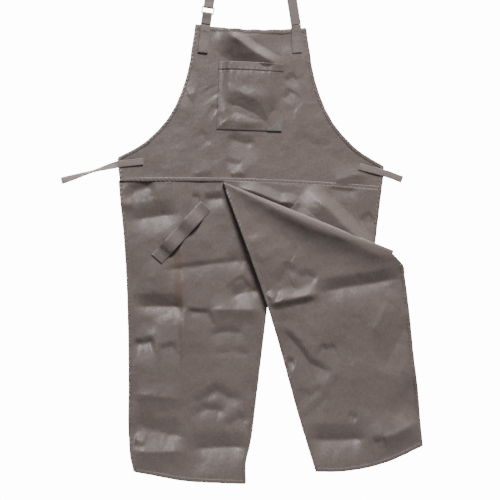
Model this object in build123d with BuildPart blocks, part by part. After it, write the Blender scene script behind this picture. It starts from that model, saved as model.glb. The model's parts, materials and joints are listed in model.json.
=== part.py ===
from build123d import *
import os
from math import acos, atan, atan2, cos, degrees, radians, sin, sqrt

# Split-leg bib work apron, hanging from its neck loop.
# +Z is up, +X is to the right of someone facing the front, and the front faces -Y.
# The origin is on the inner face of the neck strap, at the top of its arch.
# Depths are counted forwards from the neck strap's middle plane, so a depth d is at y = -d.

# Cloth, webbing and thread
CLOTH = 1.6                # panel thickness, with its hems averaged in
WEBBING = 1.6              # neck strap thickness
PLY_GAP = 0.8              # air between two layers that may move on each other
THREAD = 0.8               # width of a sewn line
THREAD_RISE = 0.4          # how far a sewn line stands off the cloth

# Neck loop
STRAP_WIDTH = 25.0
STRAP_SPREAD = 226.0       # between the strap centres at the bib's top
NECK_RADIUS = 80.0         # inner face of the arch over the neck
LOOP_RISE = 197.0          # from the bib's top up to the arch's centre
TWIST_LENGTH = 70.0        # quarter turn of each strap, below the arch
TWIST_STEPS = 6
TAB_LENGTH = 68.0          # sewn end of each strap, on the bib
LEFT_TAB_LEAN = 6.0        # degrees
RIGHT_TAB_LEAN = 2.5
SWING_GAP = 4.0            # between strap and tab, where the bib swings

# Strap ring and slider
RING_BAR = 3.0
RING_WINDOW = 9.0          # what is left open between the two bends of webbing
RING_PLAY = 0.3            # between a bar and the webbing round it
RING_CORNER = 0.4          # inside corners of the slot
RING_HEIGHT = 37.0         # ring centre above the bib's top, along the strap
BEND_RUN = 16.0            # length in which two plies open to pass a bar
SLIDER_HEIGHT = 92.0       # slider centre, along the strap
SLIDER_LENGTH = 20.0
SLIDER_RAIL = 3.6
SLIDER_WALL = 2.0
SLIDER_BAR = 4.5
SLIDER_PLAY = 0.4
TAIL_HEIGHT = 136.0        # free end of the strap, along the strap

# Bib
BIB_TOP_WIDTH = 275.0
BIB_TOP_SAG = 8.5
BIB_CORNER_DROP = 3.5      # corners below the straps' swing line
BIB_HEIGHT = 394.0         # swing line to waist seam, at the middle
SHOULDER_DROP = 75.0       # where the armhole curve starts
WAIST_WIDTH = 652.0        # along the waist seam
SIDE_FLARE = 5.0           # each side edge leans out by this above the seam
SIDE_HEIGHT = 60.0         # side edge, from the waist seam to the armhole
SEAM_DROOP = 9.0           # seam ends below its middle
HANG_SLOPE = 0.033         # the right side hangs lower: drop per millimetre of width
BAND_HEIGHT = 10.0
BAND_DEPTH = 4.0

# Chest pocket
POCKET_WIDTH = 163.0
POCKET_HEIGHT = 170.0
POCKET_DROP = 178.5        # pocket centre below the swing line
POCKET_ROOM = 6.0          # air between the bib and the pocket's front
POCKET_RIM = 3.0
POCKET_LEAN = -1.9         # degrees
POCKET_HEM = 20.0
PATCH_WIDTH = 36.0
PATCH_HEIGHT = 33.0
PATCH_THICKNESS = 0.8

# Waist ties
TIE_WIDTH = 17.0
TIE_THICKNESS = 1.2
TIE_TAB_LENGTH = 62.0
LEFT_TIE_REACH = 143.0     # beyond the side edge
RIGHT_TIE_REACH = 48.0
LEFT_TAB_SLOPE = 6.0       # degrees down towards the outside
RIGHT_TAB_SLOPE = 14.5
LEFT_TIE_SLOPE = 16.4
RIGHT_TIE_SLOPE = 19.5
TIE_HINGE_GAP = 2.0        # side edge to hinge line, and hinge line to tie
TIE_HEIGHT = 44.0          # tie centre above the waist seam, at the side edge
ROLL_DIAMETER = 28.0       # spare length of a tie, rolled up
ROLL_INSET = 34.0

# Leg panels
LEG_LENGTH = 750.0         # waist seam to the lowest corner
OVERLAP_LEFT = 72.0        # the right leg starts this far left of the middle
OVERLAP_RIGHT = 77.0       # and the left leg ends this far right of it
SEAM_GAP = 1.6             # between the seam band and a leg panel
FOLD_ANGLE = 21.9          # visible fold of the right leg, degrees below level
PLEAT_ANGLE = 5.3          # how far the hidden fold lies below the visible one
FOLD_REACH = 462.0         # visible fold, from the inner corner outwards
FOLD_EDGE = 3.0            # width of the bent cloth along a fold
LEG_CORNER = 14.0          # round corner where the visible fold ends

# Diagonal loops on the legs
LOOP_WIDTH = 35.0
LOOP_LENGTH = 182.0
LOOP_THICKNESS = 1.2
LOOP_SEWN = 14.0           # length sewn down at each end
LOOP_RAMP = 18.0           # length in which the loop rises
LOOP_ROOM = 6.5            # free height under a loop
LEFT_LOOP_TOP = (-112.5, 60.0)    # upper end: from the middle, and below the waist seam
RIGHT_LOOP_TOP = (106.0, 61.0)
LEFT_LOOP_ANGLE = 227.5    # direction from the upper end, degrees from +X
RIGHT_LOOP_ANGLE = 317.0
LOOP_FOLD_GAP = 3.0        # the right loop's flat part ends this far above the hidden fold


# Worked out from the sizes above
half_spread = STRAP_SPREAD / 2
middle_radius = NECK_RADIUS + WEBBING / 2
strap_lean = degrees(acos(middle_radius / sqrt(half_spread**2 + LOOP_RISE**2)) - atan(LOOP_RISE / half_spread))
lean_sin = sin(radians(strap_lean))
lean_cos = cos(radians(strap_lean))
riser_length = LOOP_RISE * lean_cos + half_spread * lean_sin
swing_z = -NECK_RADIUS - LOOP_RISE

ring_slot = RING_WINDOW + 2 * (WEBBING + RING_PLAY)
bar_offset = (ring_slot + RING_BAR) / 2
bend_radius = RING_BAR / 2 + RING_PLAY + WEBBING / 2
tail_depth = WEBBING + PLY_GAP / 2
ring_depth = tail_depth / 2

bib_front = -WEBBING / 2
bib_back = bib_front - CLOTH
half_waist = WAIST_WIDTH / 2
half_side = half_waist + SIDE_FLARE
seam_middle = swing_z - BIB_HEIGHT
leg_bottom = seam_middle - LEG_LENGTH

left_leg_back = bib_back - PLY_GAP
left_leg_front = left_leg_back + CLOTH
right_leg_back = left_leg_front + PLY_GAP
pleat_front = right_leg_back + CLOTH
hidden_back = pleat_front + LOOP_THICKNESS + PLY_GAP / 2
outer_back = hidden_back + CLOTH + PLY_GAP


def hang(x, z):
    """A point of the bib, in the XZ plane: z is from the swing line, and the right side hangs lower."""
    return (x, swing_z + z - HANG_SLOPE * x)


def seam_point(x):
    """A point of the waist seam, which droops towards both sides."""
    return hang(x, -BIB_HEIGHT - SEAM_DROOP * (x / half_waist) ** 2)


def front_plane(depth):
    """An upright plane that faces the front, at a depth."""
    return Plane.XZ.offset(depth)


def strap_plane(side, lean, height=0.0):
    """Upright plane along one strap: x across it, y up along it, at its swing point plus a height."""
    s = sin(radians(lean))
    c = cos(radians(lean))
    origin = (side * half_spread - side * s * height, 0, swing_z + c * height)
    return Plane(origin=origin, x_dir=(c, 0, side * s), z_dir=(0, -1, 0))


def strap_side_plane(side, lean):
    """Plane square to a strap's width: x is forwards and y is up along the strap."""
    s = sin(radians(lean))
    c = cos(radians(lean))
    return Plane(origin=(side * half_spread, 0, swing_z), x_dir=(0, -1, 0), z_dir=(-c, 0, -side * s))


def twist_plane(side, turn):
    """Section plane of a strap's quarter turn: turn runs from 0, flat, to 1, edge on."""
    height = riser_length - TWIST_LENGTH * (1 - turn)
    a = radians(90 * turn)
    flat = strap_plane(side, strap_lean, height)
    across = flat.x_dir * cos(a) + flat.z_dir * sin(a)
    return Plane(origin=flat.origin, x_dir=across, z_dir=flat.y_dir)


# ---------------------------------------------------------------- neck loop

with BuildPart() as neck_strap:
    # arch over the neck, width along Y
    with BuildSketch(Plane.XZ):
        with BuildLine():
            outer = CenterArc((0, -NECK_RADIUS), NECK_RADIUS + WEBBING, strap_lean, 180 - 2 * strap_lean)
            inner = CenterArc((0, -NECK_RADIUS), NECK_RADIUS, strap_lean, 180 - 2 * strap_lean)
            Line(outer @ 0, inner @ 0)
            Line(outer @ 1, inner @ 1)
        make_face()
    extrude(amount=STRAP_WIDTH / 2, both=True)
    # quarter turn on each side
    for side in (-1, 1):
        for step in range(TWIST_STEPS + 1):
            with BuildSketch(twist_plane(side, step / TWIST_STEPS)):
                Rectangle(STRAP_WIDTH, WEBBING)
        loft(ruled=True)
    # right riser, one ply, down to the swing line
    with BuildSketch(strap_side_plane(1, strap_lean)):
        with BuildLine():
            Line((0, SWING_GAP / 2), (0, riser_length - TWIST_LENGTH))
        trace(line_width=WEBBING)
    extrude(amount=STRAP_WIDTH / 2, both=True)
    # left riser, down round the ring's upper bar and up again to a free tail
    upper_bar = RING_HEIGHT + bar_offset
    with BuildSketch(strap_side_plane(-1, strap_lean)):
        with BuildLine():
            Line((0, riser_length - TWIST_LENGTH), (0, upper_bar + BEND_RUN))
            Spline(
                (0, upper_bar + BEND_RUN),
                (ring_depth - bend_radius, upper_bar),
                tangents=((0, -1), (0, -1)),
            )
            CenterArc((ring_depth, upper_bar), bend_radius, 180, 180)
            Spline(
                (ring_depth + bend_radius, upper_bar),
                (tail_depth, upper_bar + BEND_RUN),
                tangents=((0, 1), (0, 1)),
            )
            Line((tail_depth, upper_bar + BEND_RUN), (tail_depth, TAIL_HEIGHT))
        trace(line_width=WEBBING)
    extrude(amount=STRAP_WIDTH / 2, both=True)

with BuildPart() as ring_loop:
    # short webbing loop round the ring's lower bar
    lower_bar = RING_HEIGHT - bar_offset
    with BuildSketch(strap_side_plane(-1, strap_lean)):
        with BuildLine():
            Line((0, SWING_GAP / 2), (0, lower_bar - BEND_RUN))
            Spline(
                (0, lower_bar - BEND_RUN),
                (ring_depth - bend_radius, lower_bar),
                tangents=((0, 1), (0, 1)),
            )
            CenterArc((ring_depth, lower_bar), bend_radius, 180, -180)
            Spline(
                (ring_depth + bend_radius, lower_bar),
                (tail_depth, lower_bar - BEND_RUN),
                tangents=((0, -1), (0, -1)),
            )
            Line((tail_depth, lower_bar - BEND_RUN), (tail_depth, SWING_GAP / 2))
        trace(line_width=WEBBING)
    extrude(amount=STRAP_WIDTH / 2, both=True)

with BuildPart() as strap_ring:
    ring_middle = strap_plane(-1, strap_lean, RING_HEIGHT).offset(ring_depth)
    with BuildSketch(ring_middle):
        RectangleRounded(STRAP_WIDTH + 1 + 2 * RING_BAR, ring_slot + 2 * RING_BAR, RING_BAR)
        RectangleRounded(STRAP_WIDTH + 1, ring_slot, RING_CORNER, mode=Mode.SUBTRACT)
    extrude(amount=RING_BAR / 2, both=True)
    fillet(strap_ring.faces().sort_by(Axis.Y)[0].edges(), RING_BAR * 0.35)
    fillet(strap_ring.faces().sort_by(Axis.Y)[-1].edges(), RING_BAR * 0.35)

with BuildPart() as strap_slider:
    channel_back = -WEBBING / 2 - SLIDER_PLAY
    channel_front = tail_depth + WEBBING / 2 + SLIDER_PLAY
    slider_back = channel_back - SLIDER_WALL
    slider_front = channel_front + SLIDER_WALL
    slider_inside = STRAP_WIDTH + 2 * SLIDER_PLAY
    slider_plane = strap_plane(-1, strap_lean, SLIDER_HEIGHT)
    with BuildSketch(slider_plane.offset(slider_back)):
        RectangleRounded(slider_inside + 2 * SLIDER_RAIL, SLIDER_LENGTH, SLIDER_RAIL)
    extrude(amount=slider_front - slider_back)
    fillet(strap_slider.edges().filter_by(GeomType.LINE).filter_by(Plane.XZ), SLIDER_WALL * 0.4)
    with BuildSketch(slider_plane.offset(channel_back)):
        Rectangle(slider_inside, SLIDER_LENGTH)
    extrude(amount=channel_front - channel_back, mode=Mode.SUBTRACT)
    # window between the two front bars
    with BuildSketch(slider_plane.offset(channel_front)):
        Rectangle(slider_inside, SLIDER_LENGTH - 2 * SLIDER_BAR)
    extrude(amount=SLIDER_WALL, mode=Mode.SUBTRACT)
    # windows above and below the back bar
    slider_opening = (SLIDER_LENGTH - SLIDER_BAR) / 2
    with BuildSketch(slider_plane.offset(slider_back)):
        with Locations((0, (SLIDER_BAR + slider_opening) / 2), (0, -(SLIDER_BAR + slider_opening) / 2)):
            Rectangle(slider_inside, slider_opening)
    extrude(amount=SLIDER_WALL, mode=Mode.SUBTRACT)

# ---------------------------------------------------------------- bib

with BuildPart() as bib_panel:
    with BuildSketch(front_plane(bib_back)):
        with BuildLine():
            half_top = BIB_TOP_WIDTH / 2
            side_top = -BIB_HEIGHT - SEAM_DROOP + SIDE_HEIGHT
            for side in (-1, 1):
                shoulder = half_top + 9
                Line(hang(side * half_top, -BIB_CORNER_DROP), hang(side * shoulder, -SHOULDER_DROP))
                Spline(
                    hang(side * shoulder, -SHOULDER_DROP),
                    hang(side * (half_top + 36), -SHOULDER_DROP - 105),
                    hang(side * (half_side - 106), side_top + 79),
                    hang(side * half_side, side_top),
                    tangents=((side * 0.12, -1), (side * 1.0, -0.56)),
                )
                Line(hang(side * half_side, side_top), (side * half_waist, seam_point(side * half_waist)[1] + BAND_HEIGHT))
            ThreePointArc(
                hang(-half_top, -BIB_CORNER_DROP),
                hang(0, -BIB_CORNER_DROP - BIB_TOP_SAG),
                hang(half_top, -BIB_CORNER_DROP),
            )
            ThreePointArc(
                (-half_waist, seam_point(-half_waist)[1] + BAND_HEIGHT),
                (0, seam_point(0)[1] + BAND_HEIGHT),
                (half_waist, seam_point(half_waist)[1] + BAND_HEIGHT),
            )
        make_face()
    extrude(amount=CLOTH)

with BuildPart() as waist_seam_band:
    band_back = bib_back - (BAND_DEPTH - CLOTH) / 2
    with BuildSketch(front_plane(band_back)):
        with BuildLine():
            band_left = seam_point(-half_waist)
            band_right = seam_point(half_waist)
            band_top = ThreePointArc(
                (band_left[0], band_left[1] + BAND_HEIGHT),
                (0, seam_point(0)[1] + BAND_HEIGHT),
                (band_right[0], band_right[1] + BAND_HEIGHT),
            )
            Polyline(band_top @ 0, band_left, seam_point(-OVERLAP_LEFT), band_right, band_top @ 1)
        make_face()
    extrude(amount=BAND_DEPTH)

left_tab_plane = strap_plane(-1, LEFT_TAB_LEAN, -SWING_GAP / 2 - TAB_LENGTH / 2)
right_tab_plane = strap_plane(1, RIGHT_TAB_LEAN, -SWING_GAP / 2 - TAB_LENGTH / 2)

with BuildPart() as left_strap_tab:
    # both plies of the ring loop, sewn to the bib
    with BuildSketch(left_tab_plane.offset(bib_front)):
        Rectangle(STRAP_WIDTH, TAB_LENGTH)
    extrude(amount=tail_depth + WEBBING / 2 - bib_front)

with BuildPart() as right_strap_tab:
    with BuildSketch(right_tab_plane.offset(bib_front)):
        Rectangle(STRAP_WIDTH, TAB_LENGTH)
    extrude(amount=WEBBING)

with BuildPart() as strap_tab_stitching:
    # a sewn box near the edge of each tab
    for plane, depth in ((left_tab_plane, tail_depth + WEBBING / 2), (right_tab_plane, WEBBING / 2)):
        with BuildSketch(plane.offset(depth)):
            Rectangle(STRAP_WIDTH - 5, TAB_LENGTH - 8)
            Rectangle(STRAP_WIDTH - 5 - 2 * THREAD, TAB_LENGTH - 8 - 2 * THREAD, mode=Mode.SUBTRACT)
        extrude(amount=THREAD_RISE)

# ---------------------------------------------------------------- chest pocket

pocket_plane = Plane(
    origin=(0, 0, swing_z - POCKET_DROP),
    x_dir=(cos(radians(POCKET_LEAN)), 0, sin(radians(POCKET_LEAN))),
    z_dir=(0, -1, 0),
)
pocket_face = bib_front + POCKET_ROOM + CLOTH
hem_rise = CLOTH / 2

with BuildPart() as chest_pocket:
    with BuildSketch(pocket_plane.offset(bib_front)):
        Rectangle(POCKET_WIDTH, POCKET_HEIGHT)
    extrude(amount=POCKET_ROOM + CLOTH)
    # room inside, open at the top and backed by the bib
    with BuildSketch(pocket_plane.offset(bib_front)):
        with Locations((0, POCKET_RIM)):
            Rectangle(POCKET_WIDTH - 2 * POCKET_RIM, POCKET_HEIGHT)
    extrude(amount=POCKET_ROOM, mode=Mode.SUBTRACT)
    # deep hem along the mouth
    with BuildSketch(pocket_plane.offset(pocket_face)):
        with Locations((0, (POCKET_HEIGHT - POCKET_HEM) / 2)):
            Rectangle(POCKET_WIDTH, POCKET_HEM)
    extrude(amount=hem_rise)

with BuildPart() as pocket_corner_patch:
    with BuildSketch(pocket_plane.offset(pocket_face)):
        with BuildLine():
            corner = (POCKET_WIDTH / 2, -POCKET_HEIGHT / 2)
            Polyline(
                corner,
                (corner[0], corner[1] + PATCH_HEIGHT),
                (corner[0] - PATCH_WIDTH, corner[1]),
                close=True,
            )
        make_face()
    extrude(amount=PATCH_THICKNESS)

with BuildPart() as pocket_stitching:
    # sewn line down both sides and along the bottom, and one under the hem
    edge = 4.0
    with BuildSketch(pocket_plane.offset(pocket_face)):
        Rectangle(POCKET_WIDTH - 2 * edge, POCKET_HEIGHT - 2 * edge)
        Rectangle(POCKET_WIDTH - 2 * edge - 2 * THREAD, POCKET_HEIGHT - 2 * edge - 2 * THREAD, mode=Mode.SUBTRACT)
        with Locations((0, POCKET_HEIGHT / 2)):
            Rectangle(POCKET_WIDTH, 2 * (POCKET_HEM + THREAD), mode=Mode.SUBTRACT)
        with Locations(corner):
            Rectangle(2 * PATCH_WIDTH + 2, 2 * PATCH_HEIGHT + 2, mode=Mode.SUBTRACT)
        with Locations((0, POCKET_HEIGHT / 2 - POCKET_HEM - 2 * THREAD)):
            Rectangle(POCKET_WIDTH - 2 * edge, THREAD)
    extrude(amount=THREAD_RISE)

with BuildPart() as patch_stitching:
    with BuildSketch(pocket_plane.offset(pocket_face + PATCH_THICKNESS)):
        with BuildLine():
            inset = 3.0
            Polyline(
                (corner[0] - inset, corner[1] + inset),
                (corner[0] - inset, corner[1] + PATCH_HEIGHT - 2.4 * inset),
                (corner[0] - PATCH_WIDTH + 2.4 * inset, corner[1] + inset),
                close=True,
            )
        make_face()
        offset(amount=-THREAD, mode=Mode.SUBTRACT)
    extrude(amount=THREAD_RISE)

# ---------------------------------------------------------------- waist ties

TIES = {
    -1: (LEFT_TIE_REACH, LEFT_TAB_SLOPE, LEFT_TIE_SLOPE, 180.0),
    1: (RIGHT_TIE_REACH, RIGHT_TAB_SLOPE, RIGHT_TIE_SLOPE, 0.0),
}


def tie_edge(side):
    """Middle of a tie where it crosses the bib's side edge."""
    return (side * half_side, seam_point(side * half_side)[1] + TIE_HEIGHT)


def tie_tab_plane(side, slope):
    """Front-facing plane on a tie's sewn end, x along the tie and inwards from the side edge."""
    a = radians(slope)
    x, z = tie_edge(side)
    middle = (x - side * cos(a) * TIE_TAB_LENGTH / 2, 0, z + sin(a) * TIE_TAB_LENGTH / 2)
    return Plane(origin=middle, x_dir=(cos(a), 0, -side * sin(a)), z_dir=(0, -1, 0))


def make_tie_tab(side):
    """Sewn end of one tie, on the bib's front."""
    with BuildPart() as tab:
        with BuildSketch(tie_tab_plane(side, TIES[side][1]).offset(bib_front)):
            Rectangle(TIE_TAB_LENGTH, TIE_WIDTH)
        extrude(amount=TIE_THICKNESS)
    return tab


def make_tie(side):
    """Free part of one tie: doubled back on itself, with its half turn."""
    reach, _, slope, half_turn = TIES[side]
    a = radians(slope)
    x, z = tie_edge(side)
    along = Vector(side * cos(a), 0, -sin(a))
    start = Vector(x + side * 2 * TIE_HINGE_GAP, 0, z)
    length = (reach - 2 * TIE_HINGE_GAP) / cos(a)
    steps = 12
    with BuildPart() as tie:
        for step in range(steps + 1):
            t = step / steps
            turn = radians(half_turn * min(1.0, t / 0.8))
            flat = Vector(along.Z * side, 0, -along.X * side)
            across = flat * cos(turn) + Vector(0, 1, 0) * sin(turn)
            with BuildSketch(Plane(origin=start + along * (length * t), x_dir=across, z_dir=along)):
                Rectangle(TIE_WIDTH, 2 * TIE_THICKNESS)
        loft(ruled=True)
    return tie


def make_tie_roll(side):
    """Spare length of one tie, rolled up behind the bib beside the side edge."""
    x, z = tie_edge(side)
    with BuildPart() as roll:
        with BuildSketch(Plane.XY.offset(z - TIE_WIDTH / 2)):
            with Locations((x - side * ROLL_INSET, -bib_back + PLY_GAP + ROLL_DIAMETER / 2)):
                Circle(ROLL_DIAMETER / 2)
        extrude(amount=TIE_WIDTH)
    return roll


left_tie_tab = make_tie_tab(-1)
right_tie_tab = make_tie_tab(1)
left_waist_tie = make_tie(-1)
right_waist_tie = make_tie(1)
left_tie_roll = make_tie_roll(-1)
right_tie_roll = make_tie_roll(1)

with BuildPart() as tie_tab_stitching:
    for side in (-1, 1):
        with BuildSketch(tie_tab_plane(side, TIES[side][1]).offset(bib_front + TIE_THICKNESS)):
            with Locations((side * 6, 0)):
                Rectangle(TIE_TAB_LENGTH - 20, TIE_WIDTH - 5)
                Rectangle(TIE_TAB_LENGTH - 20 - 2 * THREAD, TIE_WIDTH - 5 - 2 * THREAD, mode=Mode.SUBTRACT)
        extrude(amount=THREAD_RISE)

# ---------------------------------------------------------------- leg panels

leg_left = -half_waist - 3
leg_start = seam_point(-OVERLAP_LEFT)
leg_end = seam_point(half_waist)

with BuildPart() as left_leg_panel:
    with BuildSketch(front_plane(left_leg_back)):
        with BuildLine():
            top_left = (leg_left, leg_start[1] - SEAM_GAP)
            top_right = (OVERLAP_RIGHT, leg_start[1] - SEAM_GAP - 9)
            hem_left = (-half_waist + 34, leg_bottom + 30)
            hem_right = (-13.0, leg_bottom)
            Spline(
                top_left,
                (-half_waist + 10, leg_start[1] - 119),
                (-half_waist + 20, leg_start[1] - 345),
                (-half_waist + 23, leg_bottom + 108),
                hem_left,
                tangents=((0.05, -1), (0.25, -1)),
            )
            ThreePointArc(hem_left, (-150.0, leg_bottom + 4.5), hem_right)
            Line(hem_right, top_right)
            Polyline(top_right, (-OVERLAP_LEFT, leg_start[1] - SEAM_GAP), top_left)
        make_face()
    extrude(amount=CLOTH)

pivot = (-OVERLAP_LEFT, leg_start[1] - SEAM_GAP)


def from_pivot(reach, below):
    """A point at a reach from the right leg's inner corner, on a line below level by an angle."""
    return (pivot[0] + reach * cos(radians(below)), pivot[1] - reach * sin(radians(below)))


upper_edge = 409.0         # where the visible fold crosses the upper cloth's side edge
hidden_edge = 424.0        # where the hidden fold ends
fold_start = 24.0          # the pleat opens this far out from the corner

with BuildPart() as right_leg_panel:
    low_angle = FOLD_ANGLE + PLEAT_ANGLE
    # upper cloth, from the waist seam down to the hidden fold
    with BuildSketch(front_plane(right_leg_back)):
        with BuildLine():
            Polyline(
                pivot,
                (leg_end[0], leg_end[1] - SEAM_GAP),
                from_pivot(upper_edge, FOLD_ANGLE),
                from_pivot(hidden_edge, low_angle),
                close=True,
            )
        make_face()
    extrude(amount=CLOTH)
    # hidden cloth, from the hidden fold back up to the visible one
    with BuildSketch(front_plane(hidden_back)):
        with BuildLine():
            Polyline(
                from_pivot(fold_start, FOLD_ANGLE),
                from_pivot(FOLD_REACH - 12, FOLD_ANGLE),
                from_pivot(hidden_edge, low_angle),
                from_pivot(fold_start, low_angle),
                close=True,
            )
        make_face()
    extrude(amount=CLOTH)
    # outer cloth, from the visible fold down to the hem
    with BuildSketch(front_plane(outer_back)):
        with BuildLine():
            fold_end = from_pivot(FOLD_REACH, FOLD_ANGLE)
            corner_end = (fold_end[0] + LEG_CORNER, fold_end[1] - 22)
            hem_outer = (429.0, leg_bottom + 93)
            hem_inner = (163.0, leg_bottom + 29)
            knee = (39.0, pivot[1] - 315)
            Line(pivot, fold_end)
            RadiusArc(fold_end, corner_end, 26)
            Spline(
                corner_end,
                (395.5, leg_bottom + 407),
                (415.5, leg_bottom + 227),
                hem_outer,
                tangents=((0.25, -1), (0.05, -1)),
            )
            Spline(hem_outer, (340.0, leg_bottom + 52), (227.0, leg_bottom + 30), hem_inner)
            Spline(hem_inner, (131.0, leg_bottom + 132), knee, (-16.0, pivot[1] - 145), pivot)
        make_face()
    extrude(amount=CLOTH)
    # bent cloth along the hidden fold and along the visible fold
    for below, back, front in (
        (low_angle, right_leg_back, hidden_back + CLOTH),
        (FOLD_ANGLE, hidden_back, outer_back + CLOTH),
    ):
        with BuildSketch(front_plane(back)):
            with BuildLine():
                shift = FOLD_EDGE if below == low_angle else -FOLD_EDGE
                reach = hidden_edge if below == low_angle else FOLD_REACH - 12
                near = from_pivot(fold_start, below)
                far = from_pivot(reach, below)
                Polyline(near, far, (far[0] - 1, far[1] + shift), (near[0], near[1] + shift), close=True)
            make_face()
        extrude(amount=front - back)

# ---------------------------------------------------------------- diagonal loops


def loop_plane(top, angle, depth):
    """Plane square to a loop's width: x along the loop from its upper end, y forwards from the panel."""
    a = radians(angle)
    along = Vector(cos(a), 0, sin(a))
    origin = (top[0], -depth, leg_start[1] - top[1])
    return Plane(origin=origin, x_dir=along, z_dir=along.cross(Vector(0, -1, 0)))


with BuildPart() as left_leg_loop:
    # sewn flat at both ends, and standing off the panel between them
    with BuildSketch(loop_plane(LEFT_LOOP_TOP, LEFT_LOOP_ANGLE, left_leg_front)):
        with BuildLine():
            flat = LOOP_THICKNESS / 2
            high = LOOP_ROOM + flat
            rise_end = LOOP_SEWN + LOOP_RAMP
            fall_start = LOOP_LENGTH - rise_end
            fall_end = LOOP_LENGTH - LOOP_SEWN
            Line((0, flat), (LOOP_SEWN, flat))
            Spline((LOOP_SEWN, flat), (rise_end, high), tangents=((1, 0), (1, 0)))
            Line((rise_end, high), (fall_start, high))
            Spline((fall_start, high), (fall_end, flat), tangents=((1, 0), (1, 0)))
            Line((fall_end, flat), (LOOP_LENGTH, flat))
        trace(line_width=LOOP_THICKNESS)
    extrude(amount=LOOP_WIDTH / 2, both=True)

with BuildPart() as right_leg_loop:
    # lies flat on the upper cloth, and goes into the pleat with it
    with BuildSketch(front_plane(pleat_front)):
        loop_turn = radians(RIGHT_LOOP_ANGLE)
        loop_middle = (
            RIGHT_LOOP_TOP[0] + cos(loop_turn) * LOOP_LENGTH / 2,
            leg_start[1] - RIGHT_LOOP_TOP[1] + sin(loop_turn) * LOOP_LENGTH / 2,
        )
        with Locations(Location((loop_middle[0], loop_middle[1], 0), (0, 0, RIGHT_LOOP_ANGLE))):
            Rectangle(LOOP_LENGTH, LOOP_WIDTH)
        with BuildLine():
            near = from_pivot(0, low_angle)
            far = from_pivot(FOLD_REACH, low_angle)
            Polyline(
                (near[0], near[1] + LOOP_FOLD_GAP),
                (far[0], far[1] + LOOP_FOLD_GAP),
                (far[0], far[1] - LOOP_LENGTH),
                (near[0], near[1] - LOOP_LENGTH),
                close=True,
            )
        make_face(mode=Mode.SUBTRACT)
    extrude(amount=LOOP_THICKNESS)


def make_loop_stitching(top, angle, depth, ends):
    """Two short sewn lines across each visible sewn end of a loop."""
    with BuildPart() as stitching:
        with BuildSketch(
            Plane(
                origin=(top[0], -depth - LOOP_THICKNESS, leg_start[1] - top[1]),
                x_dir=(cos(radians(angle)), 0, sin(radians(angle))),
                z_dir=(0, -1, 0),
            )
        ):
            for end in ends:
                with Locations((end - 2, 0), (end + 2, 0)):
                    Rectangle(THREAD, LOOP_WIDTH - 4)
        extrude(amount=THREAD_RISE)
    return stitching


left_loop_stitching = make_loop_stitching(
    LEFT_LOOP_TOP, LEFT_LOOP_ANGLE, left_leg_front, (LOOP_SEWN / 2, LOOP_LENGTH - LOOP_SEWN / 2)
)
right_loop_stitching = make_loop_stitching(
    RIGHT_LOOP_TOP, RIGHT_LOOP_ANGLE, pleat_front, (LOOP_SEWN / 2,)
)

with BuildPart() as waist_seam_stitching:
    with BuildSketch(front_plane(band_back + BAND_DEPTH)):
        with BuildLine():
            low = 2.0
            Polyline(
                (band_left[0] + 6, band_left[1] + low),
                (-OVERLAP_LEFT, seam_point(-OVERLAP_LEFT)[1] + low),
                (band_right[0] - 6, band_right[1] + low + 0.4),
            )
        trace(line_width=THREAD)
    extrude(amount=THREAD_RISE)

# ---------------------------------------------------------------- write the pieces

pieces = {
    "neck_strap": neck_strap,
    "ring_loop": ring_loop,
    "strap_ring": strap_ring,
    "strap_slider": strap_slider,
    "bib_panel": bib_panel,
    "waist_seam_band": waist_seam_band,
    "waist_seam_stitching": waist_seam_stitching,
    "left_strap_tab": left_strap_tab,
    "right_strap_tab": right_strap_tab,
    "strap_tab_stitching": strap_tab_stitching,
    "chest_pocket": chest_pocket,
    "pocket_stitching": pocket_stitching,
    "pocket_corner_patch": pocket_corner_patch,
    "patch_stitching": patch_stitching,
    "left_tie_tab": left_tie_tab,
    "right_tie_tab": right_tie_tab,
    "tie_tab_stitching": tie_tab_stitching,
    "left_waist_tie": left_waist_tie,
    "right_waist_tie": right_waist_tie,
    "left_tie_roll": left_tie_roll,
    "right_tie_roll": right_tie_roll,
    "left_leg_panel": left_leg_panel,
    "right_leg_panel": right_leg_panel,
    "left_leg_loop": left_leg_loop,
    "left_loop_stitching": left_loop_stitching,
    "right_leg_loop": right_leg_loop,
    "right_loop_stitching": right_loop_stitching,
}

os.makedirs("parts", exist_ok=True)
for name, piece in pieces.items():
    piece.part.label = name
    export_step(piece.part, f"parts/{name}.step")

print("swing line z", round(swing_z, 1), "strap lean", round(strap_lean, 2), "hem z", round(leg_bottom, 1))
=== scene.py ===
import json
import math

import bmesh
import bpy
import numpy as np
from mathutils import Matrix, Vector, noise

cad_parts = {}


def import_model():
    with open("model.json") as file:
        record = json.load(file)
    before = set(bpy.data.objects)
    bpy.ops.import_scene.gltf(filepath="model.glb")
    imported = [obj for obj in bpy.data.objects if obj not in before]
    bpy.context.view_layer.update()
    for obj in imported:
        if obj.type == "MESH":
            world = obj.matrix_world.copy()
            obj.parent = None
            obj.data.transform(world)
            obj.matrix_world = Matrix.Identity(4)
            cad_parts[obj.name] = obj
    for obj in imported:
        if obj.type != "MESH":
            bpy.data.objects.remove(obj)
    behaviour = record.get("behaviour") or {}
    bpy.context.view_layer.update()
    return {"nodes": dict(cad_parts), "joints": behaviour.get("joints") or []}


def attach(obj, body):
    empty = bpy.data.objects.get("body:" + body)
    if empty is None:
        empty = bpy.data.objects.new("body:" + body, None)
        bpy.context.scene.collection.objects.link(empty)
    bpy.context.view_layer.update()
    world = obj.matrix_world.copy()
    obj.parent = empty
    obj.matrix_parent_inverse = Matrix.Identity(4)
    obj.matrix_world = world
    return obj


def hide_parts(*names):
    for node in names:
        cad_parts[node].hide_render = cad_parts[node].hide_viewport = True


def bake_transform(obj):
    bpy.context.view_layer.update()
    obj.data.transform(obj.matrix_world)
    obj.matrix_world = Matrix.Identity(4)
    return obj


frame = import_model()

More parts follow.
